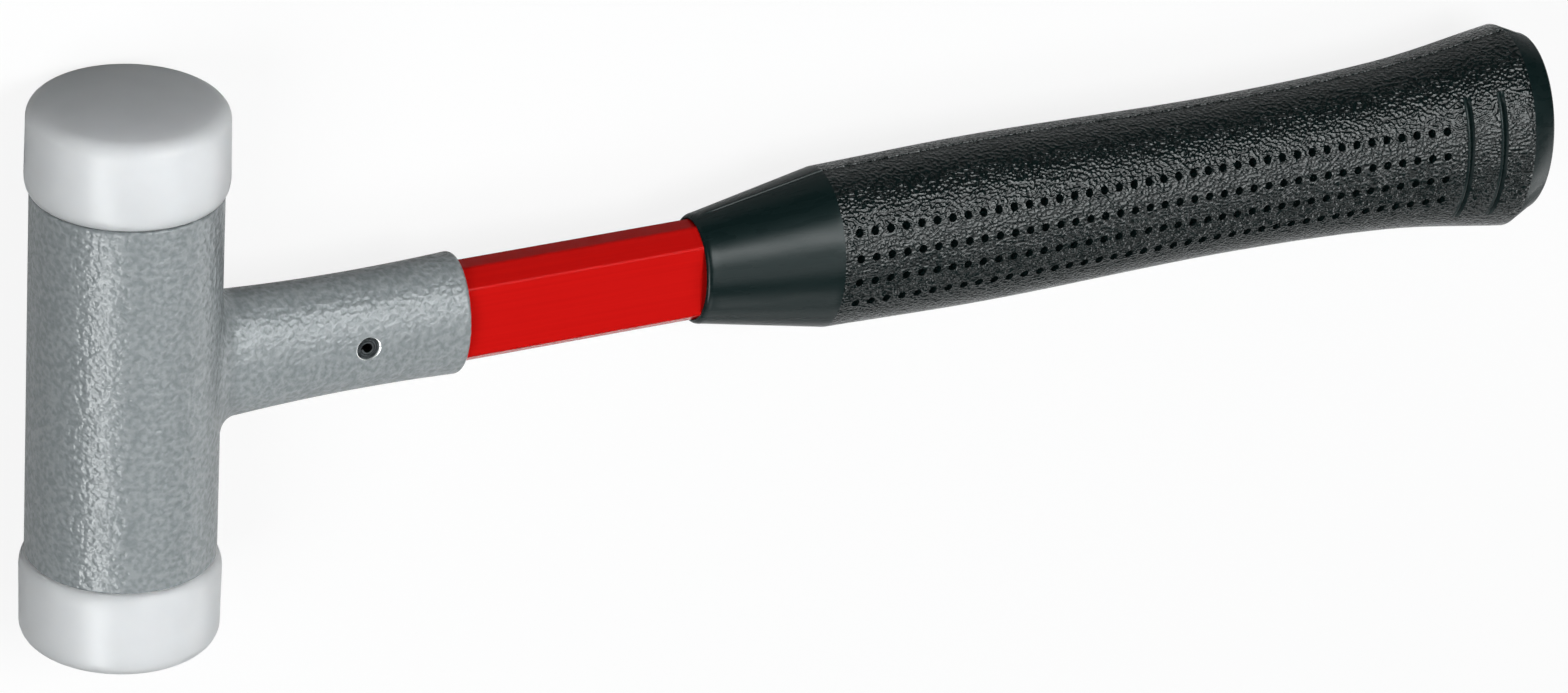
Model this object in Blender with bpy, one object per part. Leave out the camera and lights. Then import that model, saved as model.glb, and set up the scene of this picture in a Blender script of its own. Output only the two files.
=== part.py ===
# Dead blow hammer with two replaceable nylon faces, lying on its side.
# X runs along the handle, Y along the head, Z is up; every size is in metres.
import math

import bmesh
import bpy
from mathutils import Matrix

MM = 0.001

# Clearances: between pieces that seat on each other, and around the loose shot
SEAT_GAP = 0.25 * MM
SHOT_GAP = 0.30 * MM

# Striking faces, turned about the head axis
FACE_DIAMETER = 35.0 * MM
FACE_DRAFT = 0.15 * MM
FACE_HEIGHT = 16.2 * MM
FACE_EDGE_RADIUS = 2.7 * MM
FACE_CROWN = 0.9 * MM
FACE_FLAT_DIAMETER = 10.0 * MM
FACE_OVERHANG = 0.9 * MM
FACE_RIM_ROUND = 2.9 * MM
SPIGOT_LENGTH = 14.0 * MM
SPIGOT_CHAMFER = 1.2 * MM

# Barrel of the housing, which holds the shot
BARREL_LENGTH = 68.9 * MM
BARREL_WALL = 3.3 * MM
BARREL_EDGE = 0.4 * MM

# Oval neck of the housing: its reach from the head axis, and its walls round the handle's socket
NECK_REACH = 61.9 * MM
NECK_ROOT_WALL_HIGH = 2.0 * MM
NECK_ROOT_WALL_WIDE = 2.7 * MM
NECK_ROOT_FILLET = 5.6 * MM
NECK_FILLET_SWEEP = 78.0
NECK_WAIST_SETBACK = 19.6 * MM
NECK_WAIST_WALL_HIGH = 1.75 * MM
NECK_WAIST_WALL_WIDE = 2.55 * MM
NECK_MOUTH_WALL_HIGH = 2.25 * MM
NECK_MOUTH_WALL_WIDE = 2.9 * MM
NECK_MOUTH_ROUND = 1.1 * MM
SOCKET_FLOOR = 3.2 * MM

# Handle core, a flat bar with chamfered corners, bare between neck and grip
CORE_BARE_LENGTH = 45.4 * MM
CORE_HEIGHT = 18.2 * MM
CORE_WIDTH = 10.3 * MM
CORE_CHAMFER_HIGH = 2.5 * MM
CORE_CHAMFER_WIDE = 3.4 * MM
CORE_BOND_RELIEF = 0.1 * MM

# Coiled pin through the neck and the core
PIN_SETBACK = 19.6 * MM
PIN_DIAMETER = 4.0 * MM
PIN_HOLLOW = 1.6 * MM
PIN_STRIP = 0.34 * MM
PIN_COIL_GAP = 0.12 * MM
PIN_RECESS = 0.7 * MM

# Moulded grip: lip walls round the core, then each section's distance from the last, height and width
GRIP_LIP_WALL_HIGH = 1.25 * MM
GRIP_LIP_WALL_WIDE = 2.55 * MM
GRIP_LIP_ROUND = 1.1 * MM
GRIP_MOUTH_RIM = 0.6 * MM
GRIP_MOUTH_DEPTH = 2.0 * MM
GRIP_CONE_LENGTH = 25.0 * MM
GRIP_SHOULDER_HEIGHT = 30.0 * MM
GRIP_SHOULDER_WIDTH = 23.0 * MM
GRIP_SWELL_LENGTH = 32.7 * MM
GRIP_SWELL_HEIGHT = 31.2 * MM
GRIP_SWELL_WIDTH = 24.1 * MM
GRIP_WAIST_LENGTH = 48.0 * MM
GRIP_WAIST_HEIGHT = 29.7 * MM
GRIP_WAIST_WIDTH = 23.1 * MM
GRIP_FLARE_LENGTH = 35.0 * MM
GRIP_FLARE_HEIGHT = 32.3 * MM
GRIP_FLARE_WIDTH = 24.7 * MM
GRIP_BELL_LENGTH = 23.6 * MM
GRIP_BELL_HEIGHT = 38.8 * MM
GRIP_BELL_WIDTH = 29.3 * MM
GRIP_END_LENGTH = 5.8 * MM
GRIP_END_INSET = 3.2 * MM
GRIP_END_ROUND = 1.0 * MM
GRIP_END_WALL = 14.0 * MM

# Grooves across each flank of the grip, in front of the bell's edge
GROOVE_SETBACK = 5.9 * MM
GROOVE_SPACING = 6.6 * MM
GROOVE_COUNT = 2
GROOVE_SPAN = 24.6 * MM
GROOVE_WIDTH = 0.9 * MM
GROOVE_DEPTH = 0.5 * MM

# Loose steel shot: rows along the bore, each with a layer against the bore and shot lying on it
SHOT_DIAMETER = 6.0 * MM
SHOT_ROWS = 4
SHOT_LAYERS = (6, 1)

# Fineness of the round forms
TURN_STEPS = 48
OVAL_STEPS = 48
ROUND_STEPS = 5
GROOVE_STEPS = 24
GRIP_STEP = 8.0 * MM
WELD = 0.001 * MM
CREASE_ANGLE = 35.0

# Places and sizes that follow from those above, along the handle from the head axis
FACE_RADIUS = FACE_DIAMETER / 2
BARREL_RADIUS = FACE_RADIUS - FACE_OVERHANG
BORE_RADIUS = BARREL_RADIUS - BARREL_WALL
SPIGOT_RADIUS = BORE_RADIUS - SEAT_GAP
FACE_SEAT = BARREL_LENGTH / 2 + SEAT_GAP
SPIGOT_END = FACE_SEAT - SPIGOT_LENGTH
SHOT_PITCH = SHOT_DIAMETER + SHOT_GAP
SOCKET_PLACE = BORE_RADIUS + SOCKET_FLOOR
CORE_PLACE = SOCKET_PLACE + SEAT_GAP
NECK_ROOT_PLACE = BARREL_RADIUS + NECK_ROOT_FILLET
NECK_WAIST_PLACE = NECK_REACH - NECK_WAIST_SETBACK
PIN_PLACE = NECK_REACH - PIN_SETBACK
GRIP_PLACE = NECK_REACH + CORE_BARE_LENGTH
SHOULDER_PLACE = GRIP_PLACE + GRIP_CONE_LENGTH
SWELL_PLACE = SHOULDER_PLACE + GRIP_SWELL_LENGTH
WAIST_PLACE = SWELL_PLACE + GRIP_WAIST_LENGTH
FLARE_PLACE = WAIST_PLACE + GRIP_FLARE_LENGTH
BELL_PLACE = FLARE_PLACE + GRIP_BELL_LENGTH
END_PLACE = BELL_PLACE + GRIP_END_LENGTH
CORE_END = END_PLACE - GRIP_END_WALL
OVERALL_LENGTH = FACE_RADIUS + END_PLACE
HEAD_PLACE = FACE_RADIUS - OVERALL_LENGTH / 2


def clear_scene():
    for old in list(bpy.data.objects):
        bpy.data.objects.remove(old)


def make_material(name, color, roughness, metallic):
    material = bpy.data.materials.new(name)
    material.use_nodes = True
    shader = material.node_tree.nodes["Principled BSDF"]
    shader.inputs["Base Color"].default_value = (*color, 1.0)
    shader.inputs["Roughness"].default_value = roughness
    shader.inputs["Metallic"].default_value = metallic
    return material


def finish_mesh(name, bm, material):
    bmesh.ops.recalc_face_normals(bm, faces=bm.faces)
    mesh = bpy.data.meshes.new(name)
    bm.to_mesh(mesh)
    bm.free()
    mesh.shade_smooth()
    mesh.set_sharp_from_angle(angle=math.radians(CREASE_ANGLE))
    mesh.materials.append(material)
    return mesh


def place(name, mesh, parent):
    piece = bpy.data.objects.new(name, mesh)
    bpy.context.collection.objects.link(piece)
    piece.parent = parent
    return piece


def place_tool(name, bm, material, parent):
    tool = place(name, finish_mesh(name, bm, material), parent)
    tool.hide_render = True
    tool.display_type = "WIRE"
    return tool


def combine(piece, tool, operation):
    modifier = piece.modifiers.new(tool.name, "BOOLEAN")
    modifier.operation = operation
    modifier.solver = "EXACT"
    modifier.object = tool


# A solid of revolution about the head axis, from (radius, distance) points
def turned(profile):
    bm = bmesh.new()
    points = [bm.verts.new((radius, along, 0.0)) for radius, along in profile]
    for first, second in zip(points, points[1:]):
        bm.edges.new((first, second))
    bmesh.ops.spin(
        bm, geom=bm.verts[:] + bm.edges[:], cent=(0, 0, 0), axis=(0, 1, 0),
        dvec=(0, 0, 0), angle=2 * math.pi, steps=TURN_STEPS, use_merge=True)
    bmesh.ops.remove_doubles(bm, verts=bm.verts, dist=WELD)
    bmesh.ops.dissolve_degenerate(bm, edges=bm.edges, dist=WELD)
    return bm


# A closed solid skinned over rings that all have the same number of points
def lofted(rings):
    bm = bmesh.new()
    loops = [[bm.verts.new(point) for point in ring] for ring in rings]
    count = len(loops[0])
    for near, far in zip(loops, loops[1:]):
        for index in range(count):
            after = (index + 1) % count
            bm.faces.new((near[index], near[after], far[after], far[index]))
    bm.faces.new(loops[0])
    bm.faces.new(loops[-1])
    return bm


# A round bar along Z, or turned to lie along the head
def round_bar(radius, length, steps, along_head=False):
    bm = bmesh.new()
    bmesh.ops.create_cone(
        bm, cap_ends=True, segments=steps, radius1=radius, radius2=radius, depth=length)
    if along_head:
        bmesh.ops.rotate(bm, verts=bm.verts, matrix=Matrix.Rotation(math.pi / 2, 3, "X"))
    return bm


def oval(along, half_height, half_width):
    ring = []
    for step in range(OVAL_STEPS):
        turn = 2 * math.pi * step / OVAL_STEPS
        ring.append((along, half_height * math.cos(turn), half_width * math.sin(turn)))
    return ring


# The handle core's eight-sided outline, grown all round by a clearance
def core_section(along, gap):
    half_height = CORE_HEIGHT / 2 + gap
    half_width = CORE_WIDTH / 2 + gap
    flat_height = half_height - CORE_CHAMFER_HIGH
    flat_width = half_width - CORE_CHAMFER_WIDE
    corners = [
        (half_height, -flat_width), (half_height, flat_width),
        (flat_height, half_width), (-flat_height, half_width)]
    opposite = [(-height, -width) for height, width in corners]
    return [(along, height, width) for height, width in corners + opposite]


# Sines and cosines of a quarter turn, for rounded edges
def quarter_round():
    turns = [math.pi / 2 * step / ROUND_STEPS for step in range(ROUND_STEPS + 1)]
    return [(math.sin(turn), math.cos(turn)) for turn in turns]


# From the spigot's end along its side, round the rim and the edge, and over the crown
def face_profile():
    tip = BARREL_LENGTH / 2 + FACE_HEIGHT
    rim_reach = FACE_OVERHANG + SEAT_GAP
    crown_radius = FACE_RADIUS - FACE_DRAFT - FACE_EDGE_RADIUS
    flat_radius = FACE_FLAT_DIAMETER / 2
    profile = [
        (0.0, SPIGOT_END),
        (SPIGOT_RADIUS - SPIGOT_CHAMFER, SPIGOT_END),
        (SPIGOT_RADIUS, SPIGOT_END + SPIGOT_CHAMFER),
        (SPIGOT_RADIUS, FACE_SEAT)]
    for sine, cosine in quarter_round():
        radius = FACE_RADIUS - rim_reach * (1 - sine)
        profile.append((radius, FACE_SEAT + FACE_RIM_ROUND * (1 - cosine)))
    for sine, cosine in quarter_round():
        radius = crown_radius + FACE_EDGE_RADIUS * cosine
        profile.append((radius, tip - FACE_EDGE_RADIUS * (1 - sine)))
    for step in range(1, ROUND_STEPS + 1):
        radius = crown_radius + (flat_radius - crown_radius) * step / ROUND_STEPS
        profile.append((radius, tip + FACE_CROWN * (1 - (radius / crown_radius) ** 2)))
    profile.append((0.0, profile[-1][1]))
    return profile


def make_faces(frame, nylon):
    mesh = finish_mesh("striking_face", turned(face_profile()), nylon)
    place("upper_face", mesh, frame)
    lower = place("lower_face", mesh, frame)
    lower.rotation_euler = (math.pi, 0, 0)


# Wall of the neck round its socket, drawn in at the waist
def neck_wall(along, root, waist, mouth):
    if along < NECK_WAIST_PLACE:
        share = (NECK_WAIST_PLACE - along) / (NECK_WAIST_PLACE - NECK_ROOT_PLACE)
        return waist + (root - waist) * share ** 2
    share = (along - NECK_WAIST_PLACE) / NECK_WAIST_SETBACK
    return waist + (mouth - waist) * share ** 2


def neck_half_height(along):
    wall = neck_wall(along, NECK_ROOT_WALL_HIGH, NECK_WAIST_WALL_HIGH, NECK_MOUTH_WALL_HIGH)
    return CORE_HEIGHT / 2 + wall


def neck_half_width(along):
    wall = neck_wall(along, NECK_ROOT_WALL_WIDE, NECK_WAIST_WALL_WIDE, NECK_MOUTH_WALL_WIDE)
    return CORE_WIDTH / 2 + wall


# One ring of the root fillet, which follows the round of the barrel
def fillet_ring(turn):
    grown = NECK_ROOT_FILLET * (1 - math.cos(turn))
    lift = NECK_ROOT_FILLET * (1 - math.sin(turn))
    half_height = neck_half_height(NECK_ROOT_PLACE) + grown
    half_width = neck_half_width(NECK_ROOT_PLACE) + grown
    ring = []
    for _, height, width in oval(0.0, half_height, half_width):
        surface = math.sqrt(BARREL_RADIUS ** 2 - width ** 2)
        ring.append((surface + lift, height, width))
    return ring


# From inside the barrel, round the root fillet and along the waist to the rounded mouth
def neck_rings():
    sweep = math.radians(NECK_FILLET_SWEEP)
    fillet = [fillet_ring(sweep * (1 - step / ROUND_STEPS)) for step in range(ROUND_STEPS + 1)]
    buried = [(BORE_RADIUS / 2, height, width) for _, height, width in fillet[0]]
    rings = [buried] + fillet
    edge = NECK_REACH - NECK_MOUTH_ROUND
    for step in range(1, ROUND_STEPS):
        along = NECK_ROOT_PLACE + (edge - NECK_ROOT_PLACE) * step / ROUND_STEPS
        rings.append(oval(along, neck_half_height(along), neck_half_width(along)))
    for sine, cosine in quarter_round():
        along = edge + NECK_MOUTH_ROUND * sine
        inset = NECK_MOUTH_ROUND * (1 - cosine)
        rings.append(oval(along, neck_half_height(along) - inset, neck_half_width(along) - inset))
    return rings


# The hole that the pin is driven into, drilled through neck and core alike
def make_pin_hole(frame, steel):
    hole = round_bar(PIN_DIAMETER / 2 + SEAT_GAP, FACE_DIAMETER, TURN_STEPS // 2)
    tool = place_tool("pin_hole_form", hole, steel, frame)
    tool.location.x = PIN_PLACE
    return tool


# One casting: barrel and neck joined, then bored, socketed and drilled
def make_housing(frame, paint, pin_hole):
    end = BARREL_LENGTH / 2
    edge_radius = BARREL_RADIUS - BARREL_EDGE
    barrel = [
        (0.0, -end), (edge_radius, -end), (BARREL_RADIUS, BARREL_EDGE - end),
        (BARREL_RADIUS, end - BARREL_EDGE), (edge_radius, end), (0.0, end)]
    housing = place("head_housing", finish_mesh("head_housing", turned(barrel), paint), frame)
    combine(housing, place_tool("neck_form", lofted(neck_rings()), paint, frame), "UNION")
    bore = round_bar(BORE_RADIUS, 2 * BARREL_LENGTH, TURN_STEPS, along_head=True)
    combine(housing, place_tool("bore_form", bore, paint, frame), "DIFFERENCE")
    socket = [core_section(SOCKET_PLACE, SEAT_GAP), core_section(GRIP_PLACE, SEAT_GAP)]
    combine(housing, place_tool("socket_form", lofted(socket), paint, frame), "DIFFERENCE")
    combine(housing, pin_hole, "DIFFERENCE")


# One straight bar, ground back a little where it is bonded into the neck and the grip
def make_core(frame, resin, pin_hole):
    sections = [
        core_section(CORE_PLACE, -CORE_BOND_RELIEF),
        core_section(NECK_REACH, -CORE_BOND_RELIEF),
        core_section(NECK_REACH + SEAT_GAP, 0.0),
        core_section(GRIP_PLACE - SEAT_GAP, 0.0),
        core_section(GRIP_PLACE, -CORE_BOND_RELIEF),
        core_section(CORE_END, -CORE_BOND_RELIEF)]
    core = place("handle_core", finish_mesh("handle_core", lofted(sections), resin), frame)
    combine(core, pin_hole, "DIFFERENCE")


# A spring-steel strip rolled up from the pin's hollow outwards
def make_pin(frame, steel):
    pitch = PIN_STRIP + PIN_COIL_GAP
    start = PIN_HOLLOW / 2
    turns = (PIN_DIAMETER / 2 - PIN_STRIP - start) / pitch
    steps = round(turns * TURN_STEPS / 2)
    inner = []
    outer = []
    for step in range(steps + 1):
        turn = 2 * math.pi * turns * step / steps
        radius = start + pitch * turns * step / steps
        inner.append((radius * math.cos(turn), radius * math.sin(turn)))
        radius += PIN_STRIP
        outer.append((radius * math.cos(turn), radius * math.sin(turn)))
    outline = outer + inner[::-1]
    reach = neck_half_width(PIN_PLACE) - PIN_RECESS
    rings = [[(across, up, level) for across, up in outline] for level in (-reach, reach)]
    pin = place("spring_pin", finish_mesh("spring_pin", lofted(rings), steel), frame)
    pin.location.x = PIN_PLACE


# The grip's sections behind its cone: shoulder, swell, waist, flare and bell
GRIP_PLACES = (SHOULDER_PLACE, SWELL_PLACE, WAIST_PLACE, FLARE_PLACE, BELL_PLACE)
GRIP_HEIGHTS = (
    GRIP_SHOULDER_HEIGHT, GRIP_SWELL_HEIGHT, GRIP_WAIST_HEIGHT, GRIP_FLARE_HEIGHT, GRIP_BELL_HEIGHT)
GRIP_WIDTHS = (
    GRIP_SHOULDER_WIDTH, GRIP_SWELL_WIDTH, GRIP_WAIST_WIDTH, GRIP_FLARE_WIDTH, GRIP_BELL_WIDTH)


# Slope of the grip's outline at one of its sections, from the sections either side
def section_slope(index, sizes):
    before = max(index - 1, 0)
    after = min(index + 1, len(sizes) - 1)
    return (sizes[after] - sizes[before]) / (GRIP_PLACES[after] - GRIP_PLACES[before])


# Half of the grip's height or width at any place, on a smooth curve through its sections
def grip_half(along, sizes):
    index = 0
    while index < len(sizes) - 2 and along > GRIP_PLACES[index + 1]:
        index += 1
    span = GRIP_PLACES[index + 1] - GRIP_PLACES[index]
    share = (along - GRIP_PLACES[index]) / span
    rise = share ** 2 * (3 - 2 * share)
    leave = share * (1 - share) ** 2
    arrive = share ** 2 * (share - 1)
    size = sizes[index] + (sizes[index + 1] - sizes[index]) * rise
    size += span * leave * section_slope(index, sizes)
    size += span * arrive * section_slope(index + 1, sizes)
    return size / 2


# From the rounded lip up the cone, along the hand's swell and waist to the bell and its bevelled end
def grip_rings():
    rings = []
    lip_height = CORE_HEIGHT / 2 + GRIP_LIP_WALL_HIGH
    lip_width = CORE_WIDTH / 2 + GRIP_LIP_WALL_WIDE
    for sine, cosine in quarter_round():
        along = GRIP_PLACE + GRIP_LIP_ROUND * (1 - cosine)
        inset = GRIP_LIP_ROUND * (1 - sine)
        rings.append(oval(along, lip_height - inset, lip_width - inset))
    body = BELL_PLACE - SHOULDER_PLACE
    steps = math.ceil(body / GRIP_STEP)
    for step in range(steps + 1):
        along = SHOULDER_PLACE + body * step / steps
        rings.append(oval(along, grip_half(along, GRIP_HEIGHTS), grip_half(along, GRIP_WIDTHS)))
    for sine, cosine in quarter_round():
        along = END_PLACE - GRIP_END_ROUND * (1 - sine)
        inset = GRIP_END_INSET - GRIP_END_ROUND * cosine
        rings.append(oval(along, GRIP_BELL_HEIGHT / 2 - inset, GRIP_BELL_WIDTH / 2 - inset))
    return rings


# A V-shaped bar bent over one flank, which cuts one groove across it
def groove_form(along, side):
    half_height = grip_half(along, GRIP_HEIGHTS)
    half_width = grip_half(along, GRIP_WIDTHS)
    half = GROOVE_WIDTH / 2
    clear = GRIP_END_INSET
    rings = []
    for step in range(GROOVE_STEPS + 1):
        height = GROOVE_SPAN * (step / GROOVE_STEPS - 0.5)
        level = half_width * math.sqrt(1 - (height / half_height) ** 2)
        rings.append([
            (along - half, height, side * (level + clear)),
            (along - half, height, side * level),
            (along, height, side * (level - GROOVE_DEPTH)),
            (along + half, height, side * level),
            (along + half, height, side * (level + clear))])
    return lofted(rings)


def make_grip(frame, rubber):
    grip = place("grip", finish_mesh("grip", lofted(grip_rings()), rubber), frame)
    seat = [core_section(NECK_REACH, SEAT_GAP), core_section(CORE_END + SEAT_GAP, SEAT_GAP)]
    combine(grip, place_tool("core_seat_form", lofted(seat), rubber, frame), "DIFFERENCE")
    mouth_height = CORE_HEIGHT / 2 + GRIP_LIP_WALL_HIGH - GRIP_MOUTH_RIM
    mouth_width = CORE_WIDTH / 2 + GRIP_LIP_WALL_WIDE - GRIP_MOUTH_RIM
    mouth = [
        oval(NECK_REACH, mouth_height, mouth_width),
        oval(GRIP_PLACE + GRIP_MOUTH_DEPTH, mouth_height, mouth_width)]
    combine(grip, place_tool("mouth_form", lofted(mouth), rubber, frame), "DIFFERENCE")
    for side, flank in ((1, "front"), (-1, "rear")):
        for index in range(GROOVE_COUNT):
            along = BELL_PLACE - GROOVE_SETBACK - GROOVE_SPACING * index
            form = groove_form(along, side)
            name = f"{flank}_groove_form_{index + 1}"
            combine(grip, place_tool(name, form, rubber, frame), "DIFFERENCE")


# Across the bore: one layer of shot lies against its lower half, the next on the layer below
def shot_places():
    radius = BORE_RADIUS - SHOT_GAP - SHOT_DIAMETER / 2
    spacing = 2 * math.asin(SHOT_PITCH / 2 / radius)
    places = []
    for layer, count in enumerate(SHOT_LAYERS):
        distance = radius - layer * SHOT_PITCH
        for index in range(count):
            turn = (index - (count - 1) / 2) * spacing
            places.append((distance * math.sin(turn), -distance * math.cos(turn)))
    return places


# Rows of loose shot between the two spigots, carried by an empty on the head axis
def make_shot(frame, steel):
    charge = place("shot_charge", None, frame)
    bm = bmesh.new()
    bmesh.ops.create_icosphere(bm, subdivisions=2, radius=SHOT_DIAMETER / 2)
    mesh = finish_mesh("shot", bm, steel)
    number = 0
    for row in range(SHOT_ROWS):
        along = (row - (SHOT_ROWS - 1) / 2) * SHOT_PITCH
        for across, level in shot_places():
            number += 1
            pellet = place(f"shot_{number:02d}", mesh, charge)
            pellet.location = (across, along, level)


def make_hammer():
    clear_scene()
    frame = place("head_centre", None, None)
    frame.location = (HEAD_PLACE, 0.0, FACE_RADIUS)
    paint = make_material("hammertone_paint", (0.32, 0.34, 0.35), 0.35, 0.6)
    nylon = make_material("white_nylon", (0.78, 0.80, 0.81), 0.38, 0.0)
    resin = make_material("red_glass_fibre", (0.62, 0.008, 0.009), 0.15, 0.0)
    rubber = make_material("black_grip_plastic", (0.018, 0.020, 0.020), 0.45, 0.0)
    pin_steel = make_material("black_spring_steel", (0.05, 0.05, 0.052), 0.4, 1.0)
    shot_steel = make_material("shot_steel", (0.45, 0.44, 0.42), 0.35, 1.0)
    pin_hole = make_pin_hole(frame, pin_steel)
    make_housing(frame, paint, pin_hole)
    make_faces(frame, nylon)
    make_core(frame, resin, pin_hole)
    make_pin(frame, pin_steel)
    make_grip(frame, rubber)
    make_shot(frame, shot_steel)


make_hammer()
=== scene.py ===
# Dead blow hammer lying on its side: finished meshes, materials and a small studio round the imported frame
import math

import bmesh
import bpy
from mathutils import Matrix, Vector


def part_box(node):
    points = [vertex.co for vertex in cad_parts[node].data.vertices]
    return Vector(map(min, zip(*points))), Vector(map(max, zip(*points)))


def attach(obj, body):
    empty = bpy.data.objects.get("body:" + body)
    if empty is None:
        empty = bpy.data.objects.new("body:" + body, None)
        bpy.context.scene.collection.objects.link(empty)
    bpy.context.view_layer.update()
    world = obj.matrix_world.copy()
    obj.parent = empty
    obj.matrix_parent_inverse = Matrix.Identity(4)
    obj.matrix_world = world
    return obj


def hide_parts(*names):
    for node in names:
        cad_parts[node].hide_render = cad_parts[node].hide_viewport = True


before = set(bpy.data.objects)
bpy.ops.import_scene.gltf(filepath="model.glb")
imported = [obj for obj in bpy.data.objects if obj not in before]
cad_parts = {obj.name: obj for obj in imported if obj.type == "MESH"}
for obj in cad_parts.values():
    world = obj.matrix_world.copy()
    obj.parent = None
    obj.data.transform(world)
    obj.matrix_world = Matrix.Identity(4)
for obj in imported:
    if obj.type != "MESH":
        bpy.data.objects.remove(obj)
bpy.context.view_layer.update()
mm = 0.001

# places that the frame gives: the head's axis runs along Y, the handle's along X, both at height axisZ
faceLow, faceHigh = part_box("upper_face")
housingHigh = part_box("head_housing")[1]
barLow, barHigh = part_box("handle_core")
gripLow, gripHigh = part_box("grip")
headX = (faceLow.x + faceHigh.x) / 2
axisZ = (faceLow.z + faceHigh.z) / 2
barHalfHigh = barHigh.y                       # half of the bar's height, along Y
barHalfWide = (barHigh.z - barLow.z) / 2      # half of its thickness, along Z
seatGap = 0.25 * mm                           # room between pieces that seat on each other
print("frame loaded, head axis at x", round(headX / mm, 2), "mm")


# ring tools: a circle is laid on the first section, and its open edge is pulled from section to section
mergeGap = 0.001 * mm                         # points closer than this become one
circleRadius = 10 * mm                        # any size does, since each point is then put in its place


def startRing(name, points):
    bpy.ops.object.select_all(action="DESELECT")
    bpy.ops.mesh.primitive_circle_add(vertices=len(points), radius=circleRadius)
    piece = bpy.context.object
    piece.name = name
    piece.data.name = name
    bpy.ops.object.mode_set(mode="EDIT")
    ring = bmesh.from_edit_mesh(piece.data)
    order = ring.verts.layers.int.new("order")
    for index, vert in enumerate(ring.verts):
        vert[order] = index
        vert.co = points[index]
    return piece


def pullRing(piece, points):
    bpy.ops.mesh.extrude_region_move()
    ring = bmesh.from_edit_mesh(piece.data)
    order = ring.verts.layers.int["order"]
    for vert in ring.verts:
        if vert.select:
            vert.co = points[vert[order]]


def pullPiece(name, rings):
    piece = startRing(name, rings[0])
    for points in rings[1:]:
        pullRing(piece, points)
    bpy.ops.mesh.select_all(action="SELECT")
    bpy.ops.mesh.remove_doubles(threshold=mergeGap)
    bpy.ops.mesh.fill_holes(sides=0)
    bpy.ops.mesh.normals_make_consistent(inside=False)
    bpy.ops.object.mode_set(mode="OBJECT")
    piece.location = (0, 0, 0)
    piece.data.attributes.remove(piece.data.attributes["order"])
    return piece


def takeUp(piece):                            # the only selected and active object
    bpy.ops.object.select_all(action="DESELECT")
    piece.select_set(True)
    bpy.context.view_layer.objects.active = piece


def joinOrCut(piece, tool, operation):
    modifier = piece.modifiers.new(tool.name, "BOOLEAN")
    modifier.operation = operation
    modifier.solver = "EXACT"
    modifier.object = tool
    takeUp(piece)
    bpy.ops.object.modifier_apply(modifier=modifier.name)
    bpy.data.objects.remove(tool)


def headRing(radius, along, count):           # round the head's axis
    turns = [2 * math.pi * step / count for step in range(count)]
    return [(headX + radius * math.cos(t), along, axisZ + radius * math.sin(t)) for t in turns]


def ovalRing(along, high, wide, count):       # round the handle's axis, at a distance from the head's axis
    turns = [2 * math.pi * step / count for step in range(count)]
    return [(headX + along, high * math.cos(t), axisZ + wide * math.sin(t)) for t in turns]


def quarterRound(steps):                      # sines and cosines of a quarter turn
    turns = [math.pi / 2 * step / steps for step in range(steps + 1)]
    return [(math.sin(t), math.cos(t)) for t in turns]


def spread(low, high, gap):                   # even places from low to high, about a gap apart
    steps = max(1, round((high - low) / gap))
    return [low + (high - low) * step / steps for step in range(steps + 1)]


# material tools
def toLinear(hexColor):
    channels = [int(hexColor[start:start + 2], 16) / 255 for start in (1, 3, 5)]
    linear = [c / 12.92 if c <= 0.04045 else ((c + 0.055) / 1.055) ** 2.4 for c in channels]
    return (*linear, 1.0)


def addNode(tree, kind, settings=None, links=None):
    node = tree.nodes.new(kind)
    for key, value in (settings or {}).items():
        if isinstance(key, int) or key in node.inputs:
            node.inputs[key].default_value = value
        else:
            setattr(node, key, value)
    for key, socket in (links or {}).items():
        tree.links.new(socket, node.inputs[key])
    return node


def newMaterial(name):
    material = bpy.data.materials.new(name)
    material.use_nodes = True
    tree = material.node_tree
    tree.nodes.clear()
    place = addNode(tree, "ShaderNodeTexCoord").outputs["Object"]
    return material, tree, place


def setRamp(ramp, stops):                     # two pairs of position and hex colour
    for element, (position, hexColor) in zip(ramp.color_ramp.elements, stops):
        element.position = position
        element.color = toLinear(hexColor)


# Hammertone enamel on cast steel, sprayed and stoved: satin grey in soft pebbles that glitter in a sheen
def hammertoneEnamel():
    pebble = 1.0 * mm
    relief = 0.34 * mm
    material, tree, place = newMaterial("hammertone enamel")
    pebbles = addNode(
        tree, "ShaderNodeTexNoise", {"Scale": 1 / pebble, "Detail": 1.6, "Roughness": 0.42},
        {"Vector": place})
    tone = addNode(tree, "ShaderNodeValToRGB", None, {"Fac": pebbles.outputs["Fac"]})
    setRamp(tone, [(0.36, "#7F8587"), (0.64, "#93989A")])
    bump = addNode(
        tree, "ShaderNodeBump", {"Strength": 1.0, "Distance": relief}, {"Height": pebbles.outputs["Fac"]})
    shader = addNode(
        tree, "ShaderNodeBsdfPrincipled", {"Roughness": 0.27, "Specular IOR Level": 0.17},
        {"Base Color": tone.outputs["Color"], "Normal": bump.outputs["Normal"]})
    addNode(tree, "ShaderNodeOutputMaterial", None, {"Surface": shader.outputs["BSDF"]})
    return material


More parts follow.
